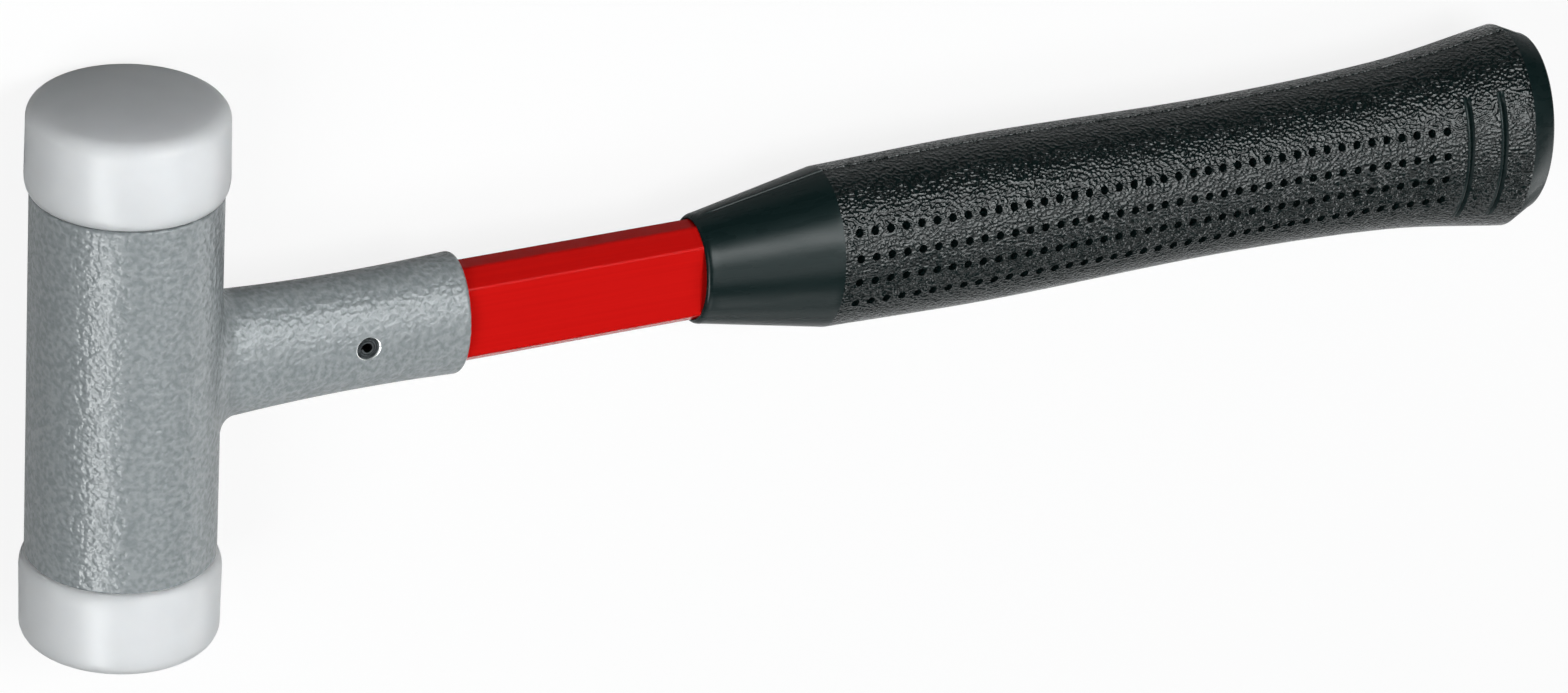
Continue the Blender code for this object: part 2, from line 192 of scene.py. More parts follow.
# Natural nylon: injection moulded, milky white, satin, light goes a little way in
def whiteNylon():
    cloud = 9.0 * mm
    skinGrain = 0.5 * mm
    skinRelief = 0.004 * mm
    lightDepth = 12.0 * mm
    material, tree, place = newMaterial("moulded nylon")
    mist = addNode(tree, "ShaderNodeTexNoise", {"Scale": 1 / cloud, "Detail": 2.0}, {"Vector": place})
    tone = addNode(tree, "ShaderNodeValToRGB", None, {"Fac": mist.outputs["Fac"]})
    setRamp(tone, [(0.3, "#DADBDD"), (0.7, "#DFE0E2")])
    skin = addNode(
        tree, "ShaderNodeTexNoise", {"Scale": 1 / skinGrain, "Detail": 2.0}, {"Vector": place})
    bump = addNode(
        tree, "ShaderNodeBump", {"Strength": 0.5, "Distance": skinRelief}, {"Height": skin.outputs["Fac"]})
    shader = addNode(
        tree, "ShaderNodeBsdfPrincipled",
        {"Roughness": 0.36, "Specular IOR Level": 0.13, "Subsurface Weight": 1.0,
         "Subsurface Scale": lightDepth, "Subsurface Radius": (1.0, 0.97, 0.95)},
        {"Base Color": tone.outputs["Color"], "Normal": bump.outputs["Normal"]})
    addNode(tree, "ShaderNodeOutputMaterial", None, {"Surface": shader.outputs["BSDF"]})
    return material


# Red pultruded glass fibre: a smooth resin skin with faint streaks along the fibres, shinier at its edges
def redGlassFibre(name, shine):
    strandWide = 0.5 * mm
    strandLong = 40 * mm
    skinRelief = 0.004 * mm
    material, tree, place = newMaterial(name)
    along = addNode(
        tree, "ShaderNodeMapping", {"Scale": (1 / strandLong, 1 / strandWide, 1 / strandWide)},
        {"Vector": place})
    strands = addNode(
        tree, "ShaderNodeTexNoise", {"Scale": 1.0, "Detail": 3.0}, {"Vector": along.outputs["Vector"]})
    tone = addNode(tree, "ShaderNodeValToRGB", None, {"Fac": strands.outputs["Fac"]})
    setRamp(tone, [(0.3, "#C41210"), (0.7, "#CA1512")])
    bump = addNode(
        tree, "ShaderNodeBump", {"Strength": 0.2, "Distance": skinRelief},
        {"Height": strands.outputs["Fac"]})
    shader = addNode(
        tree, "ShaderNodeBsdfPrincipled", {"Roughness": 0.18, "Specular IOR Level": shine},
        {"Base Color": tone.outputs["Color"], "Normal": bump.outputs["Normal"]})
    addNode(tree, "ShaderNodeOutputMaterial", None, {"Surface": shader.outputs["BSDF"]})
    return material


# Black moulded grip plastic straight from a polished mould: satin, with flow marks along the handle
def smoothGripPlastic():
    flowLong = 30 * mm
    flowWide = 1.5 * mm
    flowRelief = 0.012 * mm
    material, tree, place = newMaterial("smooth grip plastic")
    along = addNode(
        tree, "ShaderNodeMapping", {"Scale": (1 / flowLong, 1 / flowWide, 1 / flowWide)}, {"Vector": place})
    flow = addNode(
        tree, "ShaderNodeTexNoise", {"Scale": 1.0, "Detail": 3.0}, {"Vector": along.outputs["Vector"]})
    gloss = addNode(
        tree, "ShaderNodeMapRange", {"From Min": 0.3, "From Max": 0.7, "To Min": 0.24, "To Max": 0.32},
        {"Value": flow.outputs["Fac"]})
    bump = addNode(
        tree, "ShaderNodeBump", {"Strength": 0.4, "Distance": flowRelief}, {"Height": flow.outputs["Fac"]})
    shader = addNode(
        tree, "ShaderNodeBsdfPrincipled", {"Base Color": toLinear("#0F1D1D"), "Specular IOR Level": 0.08},
        {"Roughness": gloss.outputs["Result"], "Normal": bump.outputs["Normal"]})
    addNode(tree, "ShaderNodeOutputMaterial", None, {"Surface": shader.outputs["BSDF"]})
    return material


# The same plastic from an etched mould: a leather grain of short wormy wrinkles, shinier on top of them
def grainedGripPlastic():
    wrinkle = 0.51 * mm
    stretch = 1.25                            # wrinkles are longer along the handle
    relief = 0.3 * mm
    material, tree, place = newMaterial("grained grip plastic")
    along = addNode(
        tree, "ShaderNodeMapping", {"Scale": (1 / (wrinkle * stretch), 1 / wrinkle, 1 / wrinkle)},
        {"Vector": place})
    worms = addNode(
        tree, "ShaderNodeTexNoise", {"Scale": 1.0, "Detail": 0.2}, {"Vector": along.outputs["Vector"]})
    tone = addNode(tree, "ShaderNodeValToRGB", None, {"Fac": worms.outputs["Fac"]})
    setRamp(tone, [(0.35, "#060D0D"), (0.65, "#0C1818")])
    gloss = addNode(
        tree, "ShaderNodeMapRange", {"From Min": 0.35, "From Max": 0.65, "To Min": 0.3, "To Max": 0.18},
        {"Value": worms.outputs["Fac"]})
    bump = addNode(
        tree, "ShaderNodeBump", {"Strength": 1.0, "Distance": relief}, {"Height": worms.outputs["Fac"]})
    shader = addNode(
        tree, "ShaderNodeBsdfPrincipled", {"Specular IOR Level": 0.18},
        {"Base Color": tone.outputs["Color"], "Roughness": gloss.outputs["Result"],
         "Normal": bump.outputs["Normal"]})
    addNode(tree, "ShaderNodeOutputMaterial", None, {"Surface": shader.outputs["BSDF"]})
    return material


# Blackened spring steel: rolled strip under an oil-black oxide, with rubbed patches
def blackSpringSteel():
    patch = 0.6 * mm
    material, tree, place = newMaterial("blackened spring steel")
    rub = addNode(tree, "ShaderNodeTexNoise", {"Scale": 1 / patch, "Detail": 3.0}, {"Vector": place})
    tone = addNode(tree, "ShaderNodeValToRGB", None, {"Fac": rub.outputs["Fac"]})
    setRamp(tone, [(0.4, "#232627"), (0.75, "#424547")])
    shader = addNode(
        tree, "ShaderNodeBsdfPrincipled", {"Metallic": 1.0, "Roughness": 0.45},
        {"Base Color": tone.outputs["Color"]})
    addNode(tree, "ShaderNodeOutputMaterial", None, {"Surface": shader.outputs["BSDF"]})
    return material


# Bare drilled metal: bright, with fine tool rings round the hole
def drilledMetal():
    toolMark = 1.2 * mm                       # the wave repeats at about a third of this
    markRelief = 0.01 * mm
    material, tree, place = newMaterial("bare drilled metal")
    rings = addNode(
        tree, "ShaderNodeTexWave", {"bands_direction": "Z", "Scale": 1 / toolMark, "Distortion": 0.6},
        {"Vector": place})
    bump = addNode(
        tree, "ShaderNodeBump", {"Strength": 0.3, "Distance": markRelief}, {"Height": rings.outputs["Fac"]})
    shader = addNode(
        tree, "ShaderNodeBsdfPrincipled",
        {"Base Color": toLinear("#F0F1F1"), "Metallic": 1.0, "Roughness": 0.65},
        {"Normal": bump.outputs["Normal"]})
    addNode(tree, "ShaderNodeOutputMaterial", None, {"Surface": shader.outputs["BSDF"]})
    return material


# Plain steel shot: tumbled, dull grey with brighter rubbed spots
def shotSteel():
    spot = 1.4 * mm
    spotRelief = 0.03 * mm
    material, tree, place = newMaterial("tumbled steel shot")
    spots = addNode(tree, "ShaderNodeTexNoise", {"Scale": 1 / spot, "Detail": 4.0}, {"Vector": place})
    tone = addNode(tree, "ShaderNodeValToRGB", None, {"Fac": spots.outputs["Fac"]})
    setRamp(tone, [(0.35, "#7D7B78"), (0.7, "#BDBAB5")])
    bump = addNode(
        tree, "ShaderNodeBump", {"Strength": 0.6, "Distance": spotRelief}, {"Height": spots.outputs["Fac"]})
    shader = addNode(
        tree, "ShaderNodeBsdfPrincipled", {"Metallic": 1.0, "Roughness": 0.42},
        {"Base Color": tone.outputs["Color"], "Normal": bump.outputs["Normal"]})
    addNode(tree, "ShaderNodeOutputMaterial", None, {"Surface": shader.outputs["BSDF"]})
    return material


def dress(piece, node, crease, materials):     # crease: smooth below this angle in degrees
    for material in materials:
        piece.data.materials.append(material)
    takeUp(piece)
    bpy.ops.object.shade_smooth_by_angle(angle=math.radians(crease))
    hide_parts(node)
    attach(piece, "hammer")
    print(piece.name, "made,", len(piece.data.polygons), "faces")


# handle bar: a flat bar of eight sides, its long edges just broken
bar = {
    "chamferHigh": 2.5 * mm, "chamferWide": 3.4 * mm, "edgeRound": 0.35 * mm, "edgeSteps": 4,
    "longEdge": 10 * mm, "pinHole": 4.9 * mm, "sideShine": 0.02, "edgeShine": 0.45, "crease": 3}


def barSection(along, gap):                   # the bar's eight corners, grown by a gap
    high = barHalfHigh + gap
    wide = barHalfWide + gap
    flatHigh = high - bar["chamferHigh"]
    flatWide = wide - bar["chamferWide"]
    corners = [(high, -flatWide), (high, flatWide), (flatHigh, wide), (-flatHigh, wide)]
    corners += [(-y, -z) for y, z in corners]
    return [(along, y, axisZ + z) for y, z in corners]


def makeBar(skin, brokenEdge):
    piece = pullPiece("handleBar", [barSection(x, 0) for x in (barLow.x, barHigh.x)])
    takeUp(piece)
    bpy.ops.object.mode_set(mode="EDIT")
    mesh = bmesh.from_edit_mesh(piece.data)
    for edge in mesh.edges:                   # only the long edges
        edge.select_set(abs(edge.verts[0].co.x - edge.verts[1].co.x) > bar["longEdge"])
    bpy.ops.mesh.bevel(
        offset=bar["edgeRound"], segments=bar["edgeSteps"], profile=0.5, affect="EDGES", material=1)
    bpy.ops.object.mode_set(mode="OBJECT")
    joinOrCut(piece, pinHoleForm(bar["pinHole"] / 2), "DIFFERENCE")
    dress(piece, "handle_core", bar["crease"], [skin, brokenEdge])


# head housing: a round barrel and an oval neck that runs into it through a fillet
housing = {
    "around": 168, "ringGap": 1.2 * mm, "endRound": 0.5 * mm, "endSteps": 12, "wall": 3.3 * mm,
    "overhang": 0.9 * mm,                     # the faces stand out past the barrel by this
    "boreAround": 96, "socketFloor": 3.2 * mm,
    "neckAround": 132, "neckRingGap": 1.2 * mm, "rootFillet": 3.2 * mm, "filletSweep": 80.0,
    "rootWall": (2.5 * mm, 2.9 * mm),         # walls over the bar's height and over its thickness
    "waistWall": (1.75 * mm, 2.55 * mm), "mouthWall": (2.25 * mm, 2.9 * mm),
    "waistSetback": 19.6 * mm, "mouthRound": 1.1 * mm, "roundSteps": 20,
    "pinSetback": 19.6 * mm, "pinHole": 4.3 * mm, "holeAround": 64, "drillLength": 30 * mm,
    "countersink": 0.15 * mm, "crease": 9,
    "bareTilt": 0.85}                         # what points along the pin more than this keeps its paint
barrelRadius = (faceHigh.x - faceLow.x) / 2 - housing["overhang"]
barrelHalf = housingHigh.y
neckReach = housingHigh.x - headX
neckRoot = barrelRadius + housing["rootFillet"]
neckWaist = neckReach - housing["waistSetback"]
pinX = housingHigh.x - housing["pinSetback"]


def neckHalf(along, side):                    # side 0 is the neck's height, 1 its width
    waist = housing["waistWall"][side]
    if along < neckWaist:
        share = (neckWaist - along) / (neckWaist - neckRoot)
        wall = waist + (housing["rootWall"][side] - waist) * share ** 2
    else:
        share = (along - neckWaist) / housing["waistSetback"]
        wall = waist + (housing["mouthWall"][side] - waist) * share ** 2
    return wall + (barHalfHigh, barHalfWide)[side]


def filletRing(turn):                         # follows the round of the barrel
    grown = housing["rootFillet"] * (1 - math.cos(turn))
    lift = housing["rootFillet"] * (1 - math.sin(turn))
    high = neckHalf(neckRoot, 0) + grown
    wide = neckHalf(neckRoot, 1) + grown
    ring = []
    for _, y, z in ovalRing(0, high, wide, housing["neckAround"]):
        ring.append((headX + math.sqrt(barrelRadius ** 2 - (z - axisZ) ** 2) + lift, y, z))
    return ring


def makeHousing(enamel, bareMetal):
    count = housing["around"]
    edge = housing["endRound"]
    rings = []
    for sine, cosine in quarterRound(housing["endSteps"]):
        rings.append(headRing(barrelRadius - edge * (1 - sine), -barrelHalf + edge * (1 - cosine), count))
    for along in spread(edge - barrelHalf, barrelHalf - edge, housing["ringGap"])[1:-1]:
        rings.append(headRing(barrelRadius, along, count))
    for cosine, sine in quarterRound(housing["endSteps"]):
        rings.append(headRing(barrelRadius - edge * (1 - sine), barrelHalf - edge * (1 - cosine), count))
    piece = pullPiece("headHousing", rings)
    steps = housing["roundSteps"]
    sweep = math.radians(housing["filletSweep"])
    fillet = [filletRing(sweep * (1 - step / steps)) for step in range(steps + 1)]
    inside = [(headX + barrelRadius / 2, y, z) for _, y, z in fillet[0]]      # buried in the barrel
    rings = [inside] + fillet
    lip = neckReach - housing["mouthRound"]
    for along in spread(neckRoot, lip, housing["neckRingGap"])[1:-1]:
        rings.append(ovalRing(along, neckHalf(along, 0), neckHalf(along, 1), housing["neckAround"]))
    for sine, cosine in quarterRound(steps):
        along = lip + housing["mouthRound"] * sine
        inset = housing["mouthRound"] * (1 - cosine)
        high = neckHalf(along, 0) - inset
        rings.append(ovalRing(along, high, neckHalf(along, 1) - inset, housing["neckAround"]))
    joinOrCut(piece, pullPiece("neckForm", rings), "UNION")
    boreRadius = barrelRadius - housing["wall"]
    boreEnds = (-2 * barrelHalf, 2 * barrelHalf)
    bore = pullPiece("boreForm", [headRing(boreRadius, y, housing["boreAround"]) for y in boreEnds])
    joinOrCut(piece, bore, "DIFFERENCE")
    socketX = headX + boreRadius + housing["socketFloor"]
    socket = pullPiece("socketForm", [barSection(x, seatGap) for x in (socketX, gripLow.x)])
    joinOrCut(piece, socket, "DIFFERENCE")
    joinOrCut(piece, pinHoleForm(housing["pinHole"] / 2), "DIFFERENCE")
    for side in (1, -1):
        joinOrCut(piece, countersinkForm(side), "DIFFERENCE")
    dress(piece, "head_housing", housing["crease"], [enamel, bareMetal])
    for part in piece.data.polygons:          # the drilled wall and its countersink are bare
        fromPin = math.hypot(part.center.x - pinX, part.center.y)
        atPin = fromPin < housing["pinHole"] / 2 + housing["countersink"]
        if atPin and abs(part.normal.z) < housing["bareTilt"]:
            part.material_index = 1


def pinHoleForm(radius):
    bpy.ops.object.select_all(action="DESELECT")
    bpy.ops.mesh.primitive_cylinder_add(
        vertices=housing["holeAround"], radius=radius, depth=housing["drillLength"],
        location=(pinX, 0, axisZ))
    return bpy.context.object


def countersinkForm(side):                    # a cone of 45 degrees that opens outwards
    wide = housing["pinHole"] / 2 + 2 * housing["countersink"]
    count = housing["holeAround"]
    turns = [2 * math.pi * step / count for step in range(count)]
    rings = []
    for radius in (wide, wide / 2):
        height = neckHalf(pinX - headX, 1) + radius - wide + housing["countersink"]
        rings.append([
            (pinX + radius * math.cos(t), radius * math.sin(t), axisZ + side * height) for t in turns])
    return pullPiece("countersinkForm", rings)


# striking faces: turned about the head's axis, each with a spigot in the bore
face = {
    "around": 168, "height": 16.2 * mm, "draft": 0.15 * mm, "edgeRadius": 2.7 * mm, "rimRound": 2.9 * mm,
    "roundSteps": 12, "crown": 0.9 * mm, "crownGap": 1.0 * mm, "flatRadius": 5.0 * mm,
    "spigot": 14.0 * mm, "spigotChamfer": 1.2 * mm, "crease": 38}


def makeFace(name, node, side, nylon):
    count = face["around"]
    radius = (faceHigh.x - faceLow.x) / 2
    seat = barrelHalf + seatGap
    tip = barrelHalf + face["height"]
    spigotRadius = barrelRadius - housing["wall"] - seatGap
    spigotEnd = seat - face["spigot"]
    crownRadius = radius - face["draft"] - face["edgeRadius"]
    rimReach = housing["overhang"] + seatGap
    chamfer = face["spigotChamfer"]
    outline = [
        (spigotRadius - chamfer, spigotEnd), (spigotRadius, spigotEnd + chamfer), (spigotRadius, seat)]
    for sine, cosine in quarterRound(face["roundSteps"]):
        outline.append((radius - rimReach * (1 - sine), seat + face["rimRound"] * (1 - cosine)))
    for sine, cosine in quarterRound(face["roundSteps"]):
        outline.append((crownRadius + face["edgeRadius"] * cosine, tip - face["edgeRadius"] * (1 - sine)))
    for across in spread(-crownRadius, -face["flatRadius"], face["crownGap"])[1:]:
        outline.append((-across, tip + face["crown"] * (1 - (across / crownRadius) ** 2)))
    piece = pullPiece(name, [headRing(across, side * along, count) for across, along in outline])
    dress(piece, node, face["crease"], [nylon])


# coiled pin: a spring-steel strip rolled up from its hollow outwards
pin = {
    "diameter": 4.2 * mm, "strip": 0.34 * mm, "coilGap": 0.11 * mm, "recess": 0.45 * mm,
    "turns": 2.7, "turnSteps": 40, "endTurn": 0.22, "crease": 38,
    "evenShare": 0.7}                         # of each turn is round, and the rest steps inwards


def makePin(steel):
    pitch = pin["strip"] + pin["coilGap"]
    steps = round(pin["turns"] * pin["turnSteps"])
    inner = []
    outer = []
    for step in range(steps + 1):
        fromEnd = pin["turns"] * (1 - step / steps)
        turn = 2 * math.pi * (pin["endTurn"] - fromEnd)
        ramp = max(0.0, (fromEnd % 1 - pin["evenShare"]) / (1 - pin["evenShare"]))
        radius = pin["diameter"] / 2 - pin["strip"] - pitch * (math.floor(fromEnd) + ramp)
        inner.append((radius * math.cos(turn), radius * math.sin(turn)))
        radius += pin["strip"]
        outer.append((radius * math.cos(turn), radius * math.sin(turn)))
    outline = outer + inner[::-1]
    reach = neckHalf(pinX - headX, 1) - pin["recess"]
    rings = [[(pinX + x, y, axisZ + z) for x, y in outline] for z in (-reach, reach)]
    piece = pullPiece("coiledPin", rings)
    dress(piece, "spring_pin", pin["crease"], [steel])


# grip: sections from its front, each with its distance, height and width
grip = {
    "sections": ((25.0 * mm, 30.0 * mm, 23.0 * mm), (57.7 * mm, 31.2 * mm, 24.1 * mm),
                 (105.7 * mm, 29.7 * mm, 23.1 * mm), (140.7 * mm, 32.3 * mm, 24.7 * mm),
                 (164.3 * mm, 38.8 * mm, 29.3 * mm)),
    "ringGap": 1.5 * mm, "sideSteps": 14, "crease": 38,
    "flankShare": 0.88,                       # the most of the grip's height that a flank takes
    "lipWall": (1.25 * mm, 2.55 * mm), "lipRound": 1.4 * mm, "lipSteps": 8,
    "lipInner": 0.15 * mm, "lipInnerSteps": 4, "mouthRim": 1.0 * mm, "mouthDepth": 3.0 * mm,
    "shoulderEdge": 0.2 * mm, "endInset": 3.2 * mm, "endRound": 1.0 * mm, "endSteps": 6,
    "seamHalf": 0.26 * mm, "seamSlope": 0.08 * mm, "seamHeight": 0.16 * mm,
    "grooves": (151.8 * mm, 158.4 * mm), "grooveHalf": 0.5 * mm, "grooveDepth": 0.65 * mm,
    "grooveReach": 12.2 * mm, "grooveRunOut": 1.2 * mm, "grooveRingGap": 0.125 * mm,
    "beadSetback": 0.7 * mm, "beadHalf": 0.35 * mm, "beadHeight": 0.16 * mm}

# dimples: rows along both flanks of the grip, each in a square of the mesh that is drawn round
dimple = {
    "first": 27.9 * mm, "pitch": 3.05 * mm, "count": 40, "rowPitch": 4.6 * mm, "rows": 4, "steps": 8,
    "radii": (0.0, 0.42 * mm, 0.7 * mm, 0.78 * mm), "depths": (2.2 * mm, 2.0 * mm, 1.0 * mm, 0.0)}
flankHalf = dimple["rowPitch"] * dimple["rows"] / 2
dimpleStart = dimple["first"] - dimple["pitch"] / 2
dimpleEnd = dimpleStart + dimple["pitch"] * dimple["count"]
flankStart = 3 + grip["sideSteps"] - 1        # the front flank's first point, after three of the seam


def gripSlope(index, column):
    sections = grip["sections"]
    before = sections[max(index - 1, 0)]
    after = sections[min(index + 1, len(sections) - 1)]
    return (after[column] - before[column]) / (after[0] - before[0])


def gripHalf(along, column):                  # column 1 is the grip's height, 2 its width
    sections = grip["sections"]
    index = 0
    while index < len(sections) - 2 and along > sections[index + 1][0]:
        index += 1
    near = sections[index]
    far = sections[index + 1]
    span = far[0] - near[0]
    share = (along - near[0]) / span
    size = near[column] + (far[column] - near[column]) * share ** 2 * (3 - 2 * share)
    size += span * share * (1 - share) ** 2 * gripSlope(index, column)
    size += span * share ** 2 * (share - 1) * gripSlope(index + 1, column)
    return size / 2


# where a ring has its points: seam, side, flank with even rows, side, seam, and the same behind
def gripTurns(high, wide):
    seam = [0.0] + [math.asin(z / wide) for z in (grip["seamHalf"], grip["seamHalf"] + grip["seamSlope"])]
    reach = min(flankHalf, grip["flankShare"] * high)
    flankSteps = dimple["rows"] * dimple["steps"]
    flank = [math.acos(reach * (1 - 2 * step / flankSteps) / high) for step in range(flankSteps + 1)]
    sides = grip["sideSteps"]
    side = [seam[-1] + (flank[0] - seam[-1]) * step / sides for step in range(1, sides)]
    half = seam + side + flank + [math.pi - t for t in (seam + side)[::-1]]
    return half + [2 * math.pi - t for t in half[-2:0:-1]]


def gripRing(along, high, wide, seamHeight):
    ring = []
    for turn in gripTurns(high, wide):
        y = high * math.cos(turn)
        z = wide * math.sin(turn)
        if abs(z) < grip["seamHalf"] + grip["seamSlope"] / 2:
            y += math.copysign(seamHeight, y)
        ring.append((gripLow.x + along, y, axisZ + z))
    return ring


def grooveSpan(groove):                       # from in front of its raised edge to its far side
    return groove - 2 * grip["grooveHalf"], groove + grip["grooveHalf"]


def groovedRing(along, groove):               # a V across each flank, with a raised edge, that runs out
    high = gripHalf(along, 1)
    wide = gripHalf(along, 2)
    into = grip["grooveDepth"] * max(0.0, 1 - abs(along - groove) / grip["grooveHalf"])
    fromBead = (along - groove + grip["beadSetback"]) / grip["beadHalf"]
    into -= grip["beadHeight"] * max(0.0, 1 - fromBead ** 2)
    ring = []
    for x, y, z in gripRing(along, high, wide, grip["seamHeight"]):
        runOut = min(1.0, max(0.0, (grip["grooveReach"] - abs(y)) / grip["grooveRunOut"]))
        out = Vector((y / high ** 2, (z - axisZ) / wide ** 2)).normalized()
        ring.append((x, y - into * runOut * out.x, z - into * runOut * out.y))
    return ring


def roundPlace(a, b):                         # a point of a square ring, moved onto a circle
    if abs(a) >= abs(b):
        turn = math.pi / 4 * b / a if a else 0.0
        return turn if a > 0 else turn + math.pi
    turn = math.pi / 2 - math.pi / 4 * a / b
    return turn if b > 0 else turn + math.pi


def dimpledRing(number):
    steps = dimple["steps"]
    along = dimpleStart + dimple["pitch"] * number / steps
    a = number % steps - steps // 2
    middle = along - a * dimple["pitch"] / steps
    ring = gripRing(along, gripHalf(along, 1), gripHalf(along, 2), grip["seamHeight"])
    flankSteps = dimple["rows"] * steps
    for place in range(flankSteps):
        b = place % steps - steps // 2
        level = max(abs(a), abs(b))
        if level < len(dimple["radii"]):
            turn = roundPlace(a, b)
            row = flankHalf - dimple["rowPitch"] * (place // steps + 0.5)
            x = middle + dimple["radii"][level] * math.cos(turn)
            y = row - dimple["radii"][level] * math.sin(turn)
            z = gripHalf(x, 2) * math.sqrt(1 - (y / gripHalf(x, 1)) ** 2) - dimple["depths"][level]
            ring[flankStart + place] = (gripLow.x + x, y, axisZ + z)
            ring[-flankStart - place] = (gripLow.x + x, y, axisZ - z)
    return ring


def seatRing(along, gap):                     # the ring's points drawn in onto the bar's eight sides
    corners = [(y, z - axisZ) for _, y, z in barSection(0, gap)]
    ring = []
    for turn in gripTurns(barHalfHigh, barHalfWide):
        ray = Vector((barHalfHigh * math.cos(turn), barHalfWide * math.sin(turn)))
        reach = 0.0
        for (y0, z0), (y1, z1) in zip(corners, corners[1:] + corners[:1]):
            out = Vector((z1 - z0, y0 - y1))
            reach = max(reach, out.dot(ray) / out.dot(Vector((y0, z0))))
        ring.append((gripLow.x + along, ray.x / reach, axisZ + ray.y / reach))
    return ring


def makeGrip(smooth, grained):
    lipHigh = barHalfHigh + grip["lipWall"][0]
    lipWide = barHalfWide + grip["lipWall"][1]
    rim = grip["mouthRim"]
    seatEnd = barHigh.x - gripLow.x + seatGap
    rings = [seatRing(seatEnd, seatGap), seatRing(grip["mouthDepth"], seatGap)]
    rings.append(gripRing(grip["mouthDepth"], lipHigh - rim, lipWide - rim, 0))
    inner = grip["lipInner"]
    for sine, cosine in quarterRound(grip["lipInnerSteps"]):
        inset = rim - inner * (1 - cosine)
        rings.append(gripRing(inner * (1 - sine), lipHigh - inset, lipWide - inset, 0))
    for sine, cosine in quarterRound(grip["lipSteps"])[1:]:
        inset = (rim - inner) * (1 - sine)
        rings.append(gripRing(grip["lipRound"] * (1 - cosine), lipHigh - inset, lipWide - inset, 0))
    shoulder, highest, widest = grip["sections"][0]
    for along in spread(grip["lipRound"], shoulder, grip["ringGap"])[1:]:
        share = (along - grip["lipRound"]) / (shoulder - grip["lipRound"])
        high = lipHigh + (highest / 2 - lipHigh) * share
        wide = lipWide + (widest / 2 - lipWide) * share
        rings.append(gripRing(along, high, wide, grip["seamHeight"]))
    plain = [shoulder + grip["shoulderEdge"], (shoulder + dimpleStart) / 2]
    rings += [gripRing(x, gripHalf(x, 1), gripHalf(x, 2), grip["seamHeight"]) for x in plain]
    rings += [dimpledRing(number) for number in range(dimple["count"] * dimple["steps"] + 1)]
    last = dimpleEnd
    for groove in grip["grooves"]:
        start, stop = grooveSpan(groove)
        for along in spread(last, start, grip["ringGap"])[1:-1]:
            rings.append(groovedRing(along, groove))
        rings += [groovedRing(along, groove) for along in spread(start, stop, grip["grooveRingGap"])]
        last = stop
    bell, highest, widest = grip["sections"][-1]
    for along in spread(last, bell, grip["ringGap"])[1:]:
        rings.append(gripRing(along, gripHalf(along, 1), gripHalf(along, 2), grip["seamHeight"]))
    end = gripHigh.x - gripLow.x
    for sine, cosine in quarterRound(grip["endSteps"]):
        along = end - grip["endRound"] * (1 - sine)
        inset = grip["endInset"] - grip["endRound"] * cosine
        rings.append(gripRing(along, highest / 2 - inset, widest / 2 - inset, 0))
    piece = pullPiece("handGrip", rings)
    dress(piece, "grip", grip["crease"], [smooth, grained])
    spans = [grooveSpan(groove) for groove in grip["grooves"]]
    for part in piece.data.polygons:          # grain from the shoulder to the bell, but not in the grooves
        along = part.center.x - gripLow.x
        nearGroove = any(start < along < stop for start, stop in spans)
        inGroove = nearGroove and abs(part.center.y) < grip["grooveReach"]
        part.material_index = 1 if shoulder < along < bell and not inGroove else 0


enamel = hammertoneEnamel()
nylon = whiteNylon()
makeHousing(enamel, drilledMetal())
makeFace("upperFace", "upper_face", 1, nylon)
makeFace("lowerFace", "lower_face", -1, nylon)
makeBar(
    redGlassFibre("red glass fibre", bar["sideShine"]),
    redGlassFibre("red glass fibre edge", bar["edgeShine"]))
makePin(blackSpringSteel())
makeGrip(smoothGripPlastic(), grainedGripPlastic())

# loose shot: the frame's own balls in tumbled steel
steel = shotSteel()
for name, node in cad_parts.items():
    if name.startswith("shot_"):
        node.data.materials.clear()
        node.data.materials.append(steel)
print("shot charge dressed")

# studio: a pale floor, a dim room and a camera on a long lens
studio = {
    "floorSize": 60.0, "floorWhite": "#FDFDFD", "floorShade": "#505252", "shadowShare": 0.12,
    "worldColor": "#2A2C2D", "lampColor": (0.98, 1.0, 1.0),
    "cameraPlace": (-0.66638, 0.700037, 1.256156), "cameraRight": (0.8923, 0.0506, 0.4486),
    "cameraBack": (-0.4204, 0.4555, 0.7848), "lens": 204.41, "sensor": 36.0}

# softboxes, each a metre away: the rays say if it lights the colour, shows in the gloss, or does both
softboxes = {
    "keySoftbox": {"toward": (0.06, 0.28, 0.96), "size": (0.4, 0.4), "power": 6.4, "rays": "all"},
    "leftSoftbox": {"toward": (-0.766, 0.0, 0.643), "size": (0.5, 0.4), "power": 4.7, "rays": "all"},
    "rightSoftbox": {"toward": (0.62, -0.26, 0.74), "size": (0.4, 0.4), "power": 1.7, "rays": "all"},
    "rearSoftbox": {"toward": (0.0, 0.92, 0.39), "size": (0.4, 0.3), "power": 0.45, "rays": "diffuse"},
    "sheenSoftbox": {"toward": (0.37, 0.303, 0.878), "size": (0.6, 0.6), "power": 15.0, "rays": "glossy"},
    "crownSoftbox": {"toward": (0.13, -0.22, 0.966), "size": (0.38, 0.38), "power": 2.6, "rays": "glossy"},
    "frontSoftbox": {"toward": (0.0, -0.82, 0.574), "size": (0.5, 0.38), "power": 3.0, "rays": "glossy"},
    "leftStrip": {"toward": (-0.72, -0.46, 0.53), "size": (0.6, 0.16), "power": 13.0, "rays": "glossy"},
    "rightStrip": {"toward": (0.864, -0.459, 0.208), "size": (0.6, 0.36), "power": 3.8, "rays": "glossy"},
    "frontStrip": {"toward": (0.0, -0.985, 0.174), "size": (0.95, 0.34), "power": 2.3, "rays": "glossy"}}


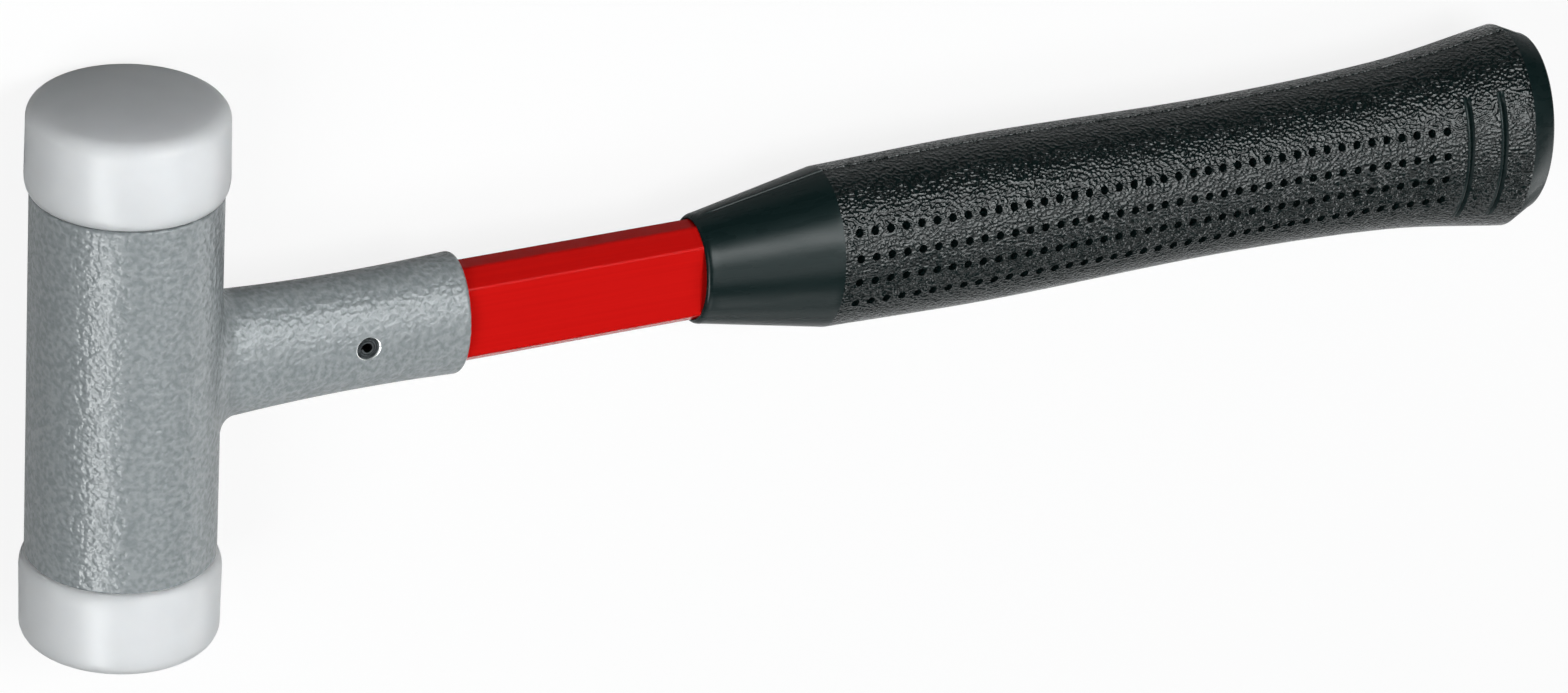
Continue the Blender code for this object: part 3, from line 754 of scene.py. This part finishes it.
def seenOrReflected(tree, rays):              # 1 for what the camera sees, straight or in gloss and glass
    first = addNode(
        tree, "ShaderNodeMath", {"operation": "MAXIMUM"},
        {0: rays.outputs["Is Camera Ray"], 1: rays.outputs["Is Glossy Ray"]})
    both = addNode(
        tree, "ShaderNodeMath", {"operation": "MAXIMUM"},
        {0: first.outputs[0], 1: rays.outputs["Is Transmission Ray"]})
    return both.outputs[0]


def makeFloor():
    bpy.ops.object.select_all(action="DESELECT")
    bpy.ops.mesh.primitive_plane_add(size=studio["floorSize"], location=(0, 0, 0))
    floor = bpy.context.object
    floor.name = "floor"
    material = bpy.data.materials.new("white sweep")
    material.use_nodes = True
    tree = material.node_tree
    tree.nodes.clear()
    white = toLinear(studio["floorWhite"])
    glow = addNode(tree, "ShaderNodeEmission", {"Color": white, "Strength": 1.0})
    pale = addNode(tree, "ShaderNodeBsdfDiffuse", {"Color": white})
    shade = addNode(tree, "ShaderNodeBsdfDiffuse", {"Color": toLinear(studio["floorShade"])})
    rays = addNode(tree, "ShaderNodeLightPath")
    shadowed = addNode(                       # gloss shows the shadow in full, the camera a share of it
        tree, "ShaderNodeMath", {"operation": "MAXIMUM", 1: studio["shadowShare"]},
        {0: rays.outputs["Is Glossy Ray"]})
    seen = addNode(
        tree, "ShaderNodeMixShader", None, {0: shadowed.outputs[0], 1: glow.outputs[0], 2: pale.outputs[0]})
    mixed = addNode(
        tree, "ShaderNodeMixShader", None,
        {0: seenOrReflected(tree, rays), 1: shade.outputs[0], 2: seen.outputs[0]})
    addNode(tree, "ShaderNodeOutputMaterial", None, {"Surface": mixed.outputs[0]})
    floor.data.materials.append(material)


def makeWorld():
    world = bpy.data.worlds.new("studio")
    bpy.context.scene.world = world
    world.use_nodes = True
    tree = world.node_tree
    tree.nodes.clear()
    air = addNode(tree, "ShaderNodeBackground", {"Color": toLinear(studio["worldColor"]), "Strength": 1.0})
    addNode(tree, "ShaderNodeOutputWorld", None, {"Surface": air.outputs[0]})


def makeSoftbox(name, box):
    lamp = bpy.data.lights.new(name, "AREA")
    lamp.shape = "RECTANGLE"
    lamp.size, lamp.size_y = box["size"]
    lamp.energy = box["power"]
    lamp.color = studio["lampColor"]
    lampObject = bpy.data.objects.new(name, lamp)
    bpy.context.collection.objects.link(lampObject)
    toward = Vector(box["toward"]).normalized()
    lampObject.location = toward
    lampObject.rotation_euler = toward.to_track_quat("Z", "Y").to_euler()
    lampObject.visible_camera = False
    lampObject.visible_diffuse = box["rays"] != "glossy"
    lampObject.visible_glossy = box["rays"] != "diffuse"


def makeCamera():
    back = Vector(studio["cameraBack"]).normalized()
    up = back.cross(Vector(studio["cameraRight"])).normalized()
    right = up.cross(back)
    lens = bpy.data.cameras.new("camera")
    lens.sensor_width = studio["sensor"]
    lens.lens = studio["lens"]
    cameraObject = bpy.data.objects.new("camera", lens)
    bpy.context.collection.objects.link(cameraObject)
    turn = Matrix((right, up, back)).transposed().to_4x4()
    cameraObject.matrix_world = Matrix.Translation(studio["cameraPlace"]) @ turn
    bpy.context.scene.camera = cameraObject


makeFloor()
makeWorld()
for name, box in softboxes.items():
    makeSoftbox(name, box)
makeCamera()
bpy.context.scene.view_settings.view_transform = "Standard"
print("studio set")
